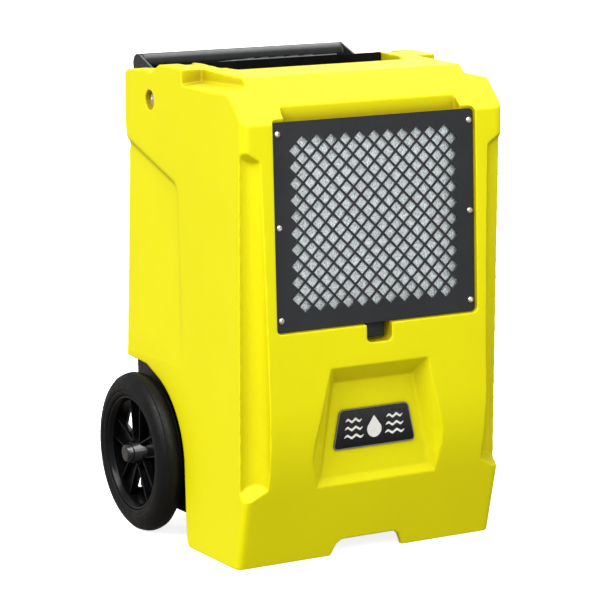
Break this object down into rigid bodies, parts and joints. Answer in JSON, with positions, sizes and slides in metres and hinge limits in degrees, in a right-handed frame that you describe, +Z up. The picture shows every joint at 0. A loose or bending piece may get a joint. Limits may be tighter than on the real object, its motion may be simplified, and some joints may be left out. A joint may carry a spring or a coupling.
{
  "type": "commercial dehumidifier",
  "caption": "Upright wheeled dehumidifier: moulded body with fluted corners, perforated intake plate, two spoked wheels, folding tube handle and top console.",
  "frame": {"origin": "on the floor, at the middle of the overall width and depth", "axes": "+Z up, the intake grille faces -Y, the axle runs along X"},
  "size_m": [0.419, 0.39, 0.601],
  "materials": {
    "yellow_plastic": "moulded, fine texture",
    "black_plastic": "satin",
    "black_steel": "powder coat, satin",
    "charcoal_plate": "fine textured paint",
    "rubber": "matte",
    "zinc_steel": "zinc plated",
    "copper": "bare tube and fin stock",
    "aluminium": "bare fin stock",
    "filter_cloth": "non-woven fibre",
    "grey_plastic": "satin",
    "display_lens": "gloss",
    "button_rubber": "matte",
    "badge_film": "printed film with a bright rim, no text",
    "white_plastic": "satin",
    "circuit_board": "lacquered"
  },
  "bodies": {
    "housing": {"badge_plate": "badge_film", "base_chassis": "black_steel", "compressor": "black_steel", "compressor_mount_1": "rubber", "compressor_mount_2": "rubber", "compressor_mount_3": "rubber", "condensate_pump": "black_plastic", "condensate_reservoir": "white_plastic", "condenser_coil": "copper", "control_board": "circuit_board", "control_console": "black_plastic", "control_fascia": "grey_plastic", "discharge_pipe": "copper", "display_lens": "display_lens", "drain_connector": "zinc_steel", "drip_tray": "white_plastic", "evaporator_coil": "aluminium", "exhaust_guard": "black_steel", "fan_bracket": "black_steel", "fan_motor": "grey_plastic", "fan_shroud": "black_plastic", "filter_frame": "grey_plastic", "filter_grille_plate": "charcoal_plate", "filter_media": "filter_cloth", "float_pin": "zinc_steel", "grille_screw_1": "zinc_steel", "grille_screw_2": "zinc_steel", "grille_screw_3": "zinc_steel", "grille_screw_4": "zinc_steel", "grille_screw_5": "zinc_steel", "grille_screw_6": "zinc_steel", "handle_pivot_bolt_left": "zinc_steel", "handle_pivot_bolt_right": "zinc_steel", "housing_shell": "yellow_plastic", "machine_shelf": "zinc_steel", "power_inlet": "black_plastic", "power_module": "grey_plastic", "rear_panel": "black_steel", "suction_accumulator": "black_steel", "suction_pipe": "copper", "wheel_arch_liner_left": "black_plastic", "wheel_arch_liner_right": "black_plastic", "wheel_axle": "zinc_steel"},
    "wheel_left": {"tyre_left": "rubber", "wheel_rim_left": "black_plastic", "hub_cap_left": "black_plastic"},
    "wheel_right": {"tyre_right": "rubber", "wheel_rim_right": "black_plastic", "hub_cap_right": "black_plastic"},
    "handle": {"handle_crossbar": "black_steel", "handle_arm_left": "black_steel", "handle_arm_right": "black_steel"},
    "fan": {"fan_impeller": "grey_plastic"},
    "float": {"reservoir_float": "white_plastic"},
    "button_power": {"button_power": "button_rubber"},
    "button_up": {"button_up": "button_rubber"},
    "button_down": {"button_down": "button_rubber"},
    "button_purge": {"button_purge": "button_rubber"},
    "button_mode": {"button_mode": "button_rubber"}
  },
  "joints": [
    {"name": "wheel_spin_left", "type": "hinge", "parent": "housing", "child": "wheel_left", "pos_m": [-0.1865, 0.0934, 0.1016], "axis": [1, 0, 0], "continuous": true},
    {"name": "wheel_spin_right", "type": "hinge", "parent": "housing", "child": "wheel_right", "pos_m": [0.1865, 0.0934, 0.1016], "axis": [1, 0, 0], "continuous": true},
    {"name": "handle_fold", "type": "hinge", "parent": "housing", "child": "handle", "pos_m": [0, 0.053, 0.551], "axis": [1, 0, 0], "range_deg": [0, 68]},
    {"name": "fan_spin", "type": "hinge", "parent": "housing", "child": "fan", "pos_m": [0, 0.11261, 0.41318], "axis": [0, 0.9984, 0.057], "continuous": true},
    {"name": "float_swing", "type": "hinge", "parent": "housing", "child": "float", "pos_m": [-0.1, -0.085, 0.1078], "axis": [1, 0, 0], "range_deg": [-35, 0]},
    {"name": "button_power_press", "type": "slide", "parent": "housing", "child": "button_power", "axis": [0, -0.1136, -0.9935], "range_m": [0, 0.0015], "stiffness_N_per_m": 200, "springref_m": -0.0005},
    {"name": "button_up_press", "type": "slide", "parent": "housing", "child": "button_up", "axis": [0, -0.1136, -0.9935], "range_m": [0, 0.0015], "stiffness_N_per_m": 200, "springref_m": -0.0005},
    {"name": "button_down_press", "type": "slide", "parent": "housing", "child": "button_down", "axis": [0, -0.1136, -0.9935], "range_m": [0, 0.0015], "stiffness_N_per_m": 200, "springref_m": -0.0005},
    {"name": "button_purge_press", "type": "slide", "parent": "housing", "child": "button_purge", "axis": [0, -0.1136, -0.9935], "range_m": [0, 0.0015], "stiffness_N_per_m": 200, "springref_m": -0.0005},
    {"name": "button_mode_press", "type": "slide", "parent": "housing", "child": "button_mode", "axis": [0, -0.1136, -0.9935], "range_m": [0, 0.0015], "stiffness_N_per_m": 200, "springref_m": -0.0005}
  ]
}
